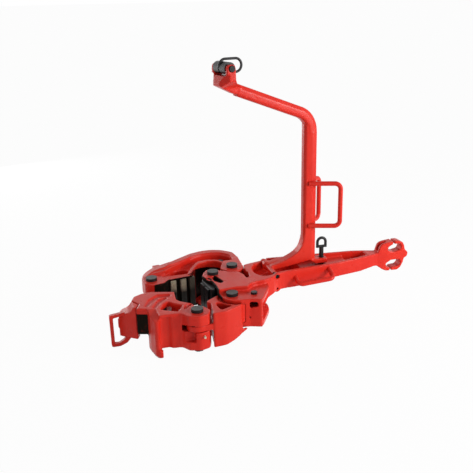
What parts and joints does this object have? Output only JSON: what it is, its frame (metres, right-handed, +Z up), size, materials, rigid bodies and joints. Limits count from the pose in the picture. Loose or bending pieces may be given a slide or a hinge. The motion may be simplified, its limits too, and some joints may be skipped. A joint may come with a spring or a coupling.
{
  "type": "manual pipe tongs",
  "caption": "Drilling tongs: hinged jaws with dies and a hooked latch on a lever with a slotted pull end, carried by a tall bent hanger with a yoke, rollers and lifting link.",
  "frame": {"origin": "middle of the jaw opening where the pipe stands, at half the depth of the jaws", "axes": "+X along the lever to its pull end, +Y to the long jaw's side, +Z up along the pipe and the hanger's post"},
  "size_m": [1.799, 0.8248, 1.4362],
  "materials": {
    "red_paint": "gloss",
    "pin_steel": "satin",
    "black_steel": "satin",
    "die_steel": "satin"
  },
  "bodies": {
    "lever_body": {"lever": "red_paint", "lever_handle": "red_paint", "short_jaw_pin": "pin_steel", "heel_pin": "pin_steel", "long_jaw_pin": "pin_steel", "lever_pin_nuts": "pin_steel", "wing_bolt": "black_steel", "hanger_pin": "pin_steel"},
    "short_jaw_body": {"short_jaw": "red_paint"},
    "lug_jaw_body": {"lug_jaw": "red_paint", "lug_jaw_pin": "pin_steel", "lug_jaw_pin_nut": "pin_steel", "lug_jaw_grease_fitting": "die_steel"},
    "long_jaw_body": {"long_jaw": "red_paint", "long_jaw_dies": "die_steel", "long_jaw_bolt": "black_steel", "latch_pin": "pin_steel", "latch_pin_nut": "pin_steel"},
    "latch_body": {"latch": "red_paint", "latch_handle": "red_paint"},
    "heel_body": {"heel_die_block": "black_steel", "heel_dies": "black_steel"},
    "hanger_body": {"hanger": "red_paint", "hanger_handle_near": "red_paint", "hanger_handle_far": "red_paint", "yoke_pin": "pin_steel"},
    "foot_body": {"levelling_foot": "black_steel"},
    "screw_body": {"levelling_screw": "black_steel"},
    "link_body": {"lifting_link": "black_steel"},
    "roller_near_body": {"yoke_roller_near": "black_steel"},
    "roller_far_body": {"yoke_roller_far": "black_steel"}
  },
  "joints": [
    {"name": "latch_swing", "type": "hinge", "parent": "long_jaw_body", "child": "latch_body", "pos_m": [-0.186, 0.196, 0], "axis": [0, 0, -1], "range_deg": [0, 75]},
    {"name": "lug_jaw_swing", "type": "hinge", "parent": "short_jaw_body", "child": "lug_jaw_body", "pos_m": [-0.038, -0.283, 0], "axis": [0, 0, 1], "range_deg": [0, 22.5]},
    {"name": "short_jaw_swing", "type": "hinge", "parent": "lever_body", "child": "short_jaw_body", "pos_m": [0.174, -0.18, 0], "axis": [0, 0, 1], "range_deg": [0, 7.5]},
    {"name": "long_jaw_swing", "type": "hinge", "parent": "lever_body", "child": "long_jaw_body", "pos_m": [0.268, 0.148, 0], "axis": [0, 0, -1], "range_deg": [0, 9]},
    {"name": "heel_rock", "type": "hinge", "parent": "lever_body", "child": "heel_body", "pos_m": [0.138, 0.081, 0], "axis": [0, 0, 1], "range_deg": [-2, 2]},
    {"name": "hanger_tilt", "type": "hinge", "parent": "lever_body", "child": "hanger_body", "pos_m": [0.472, 0.095, 0.12], "axis": [0, -1, 0], "range_deg": [0, 3]},
    {"name": "foot_slide", "type": "slide", "parent": "hanger_body", "child": "foot_body", "axis": [0, 0, -1], "range_m": [0, 0.01633]},
    {"name": "screw_turn", "type": "hinge", "parent": "foot_body", "child": "screw_body", "pos_m": [0.792, 0.095, 0.16], "axis": [0, 0, 1], "range_deg": [0, 360]},
    {"name": "link_swing", "type": "hinge", "parent": "hanger_body", "child": "link_body", "pos_m": [0.20717, -0.01124, 1.251], "axis": [0.2079, -0.9781, 0], "range_deg": [0, 90]},
    {"name": "roller_near_spin", "type": "hinge", "parent": "hanger_body", "child": "roller_near_body", "pos_m": [0.20717, -0.01124, 1.251], "axis": [0.2079, -0.9781, 0], "continuous": true},
    {"name": "roller_far_spin", "type": "hinge", "parent": "hanger_body", "child": "roller_far_body", "pos_m": [0.20717, -0.01124, 1.251], "axis": [0.2079, -0.9781, 0], "continuous": true}
  ],
  "couplings": [
    {"joint": "lug_jaw_swing", "follows": "latch_swing", "ratio": 0.3},
    {"joint": "short_jaw_swing", "follows": "latch_swing", "ratio": 0.1},
    {"joint": "long_jaw_swing", "follows": "latch_swing", "ratio": 0.12},
    {"joint": "foot_slide", "follows": "hanger_tilt", "m_per_rad": 0.31},
    {"joint": "screw_turn", "follows": "hanger_tilt", "ratio": 120}
  ]
}
